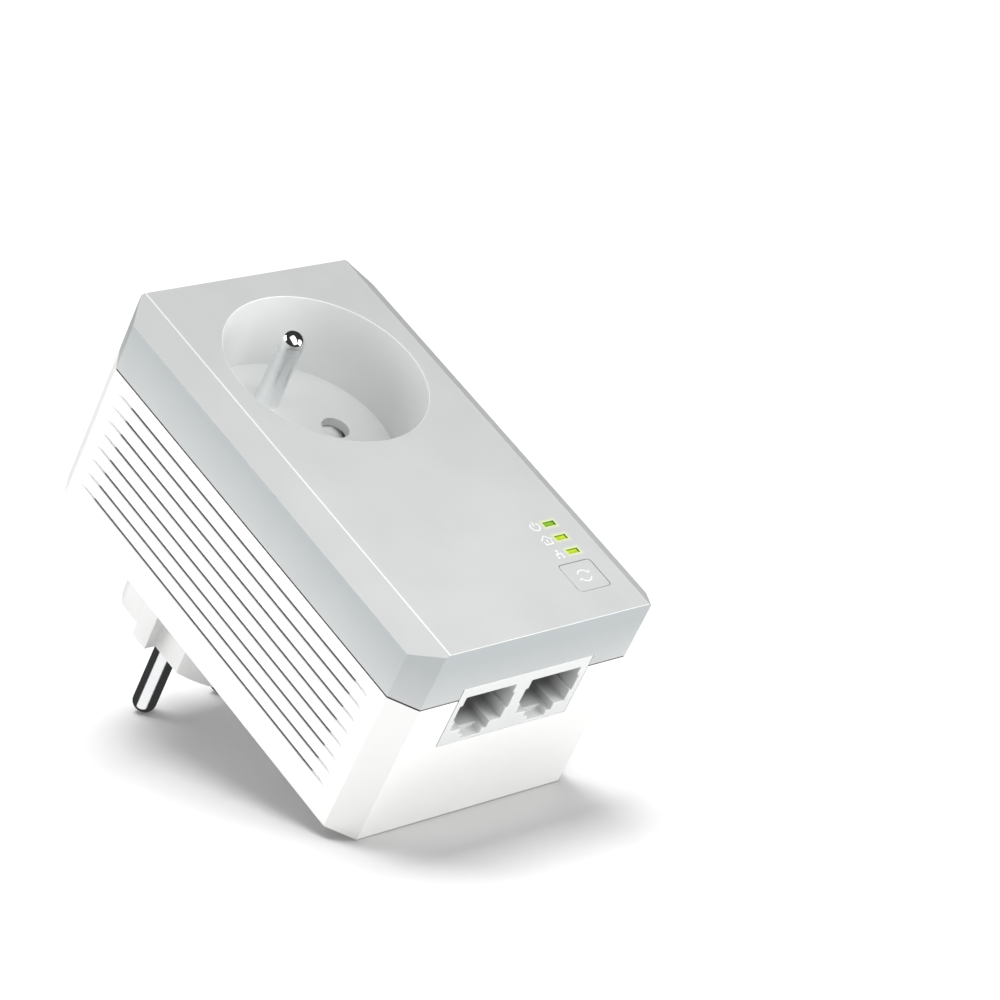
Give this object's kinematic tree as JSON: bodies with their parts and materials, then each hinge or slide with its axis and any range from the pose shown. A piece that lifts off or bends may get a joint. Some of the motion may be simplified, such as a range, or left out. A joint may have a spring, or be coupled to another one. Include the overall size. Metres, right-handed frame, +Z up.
{
  "type": "powerline adapter",
  "caption": "Pass-through powerline network adapter: wall plug at the back, earthed round socket in the front, vented sides, network ports, status lights and a push button.",
  "frame": {"origin": "midway between the two plug pins, on the plug's end face, where it meets the wall socket", "axes": "+Z up towards the socket end, away from the ports; +Y along the plug pins into the wall; +X across"},
  "size_m": [0.0576, 0.0862, 0.097],
  "materials": {
    "cover_grey": "fine matte",
    "housing_white": "satin",
    "jack_grey": "satin",
    "plated_pin": "polished",
    "contact_brass": "polished",
    "steel": "satin",
    "light_green": "clear tinted",
    "led_resin": "gloss",
    "board_green": "gloss",
    "black_plastic": "fine matte",
    "heat_sink_metal": "satin",
    "ferrite": "matte",
    "winding_tape": "gloss",
    "copper": "gloss",
    "capacitor_sleeve": "gloss",
    "capacitor_box": "satin",
    "fuse_glass": "clear",
    "sheet_insulation": "matte",
    "label_paper": "satin"
  },
  "bodies": {
    "case": {"front_cover": "cover_grey", "rear_housing": "housing_white", "socket_floor": "cover_grey", "socket_earth_pin": "plated_pin", "shutter_spring": "steel", "shutter_frame": "jack_grey", "socket_screws": "steel", "contact_block": "housing_white", "live_contact": "contact_brass", "neutral_contact": "contact_brass", "plug_body": "housing_white", "live_plug_pin": "plated_pin", "neutral_plug_pin": "plated_pin", "plug_earth_sleeve": "plated_pin", "earth_busbar": "contact_brass", "earth_strip_upper": "plated_pin", "earth_strip_lower": "plated_pin", "ethernet_jack": "jack_grey", "jack_contacts": "contact_brass", "switch_body": "steel", "light_pipe_power": "light_green", "light_pipe_home": "light_green", "light_pipe_network": "light_green", "led_power": "led_resin", "led_home": "led_resin", "led_network": "led_resin", "main_board": "board_green", "power_board": "board_green", "modem_chip": "black_plastic", "heat_sink": "heat_sink_metal", "memory_chip": "black_plastic", "crystal": "steel", "ethernet_transformers": "black_plastic", "coupling_transformer": "winding_tape", "board_header": "black_plastic", "power_transformer_core": "ferrite", "power_transformer_winding": "winding_tape", "bulk_capacitor": "capacitor_sleeve", "output_capacitors": "capacitor_sleeve", "x_capacitor": "capacitor_box", "y_capacitors": "capacitor_sleeve", "fuse": "fuse_glass", "varistor": "capacitor_sleeve", "choke_core": "ferrite", "choke_winding": "copper", "bridge_rectifier": "black_plastic", "optocoupler": "black_plastic", "insulating_sheet": "sheet_insulation", "main_board_screws": "steel", "power_board_screws": "steel", "case_screws": "steel", "rating_label": "label_paper"},
    "shutter": {"safety_shutter": "jack_grey"},
    "button": {"pair_button": "cover_grey", "switch_plunger": "black_plastic"}
  },
  "joints": [
    {"name": "button_press", "type": "slide", "parent": "case", "child": "button", "axis": [0, 1, 0], "range_m": [0, 0.0005], "stiffness_N_per_m": 600, "springref_m": -0.0006},
    {"name": "shutter_slide", "type": "slide", "parent": "case", "child": "shutter", "axis": [0, 0, 1], "range_m": [0, 0.0062], "stiffness_N_per_m": 120, "springref_m": -0.004, "deforming": ["shutter_spring"]}
  ]
}
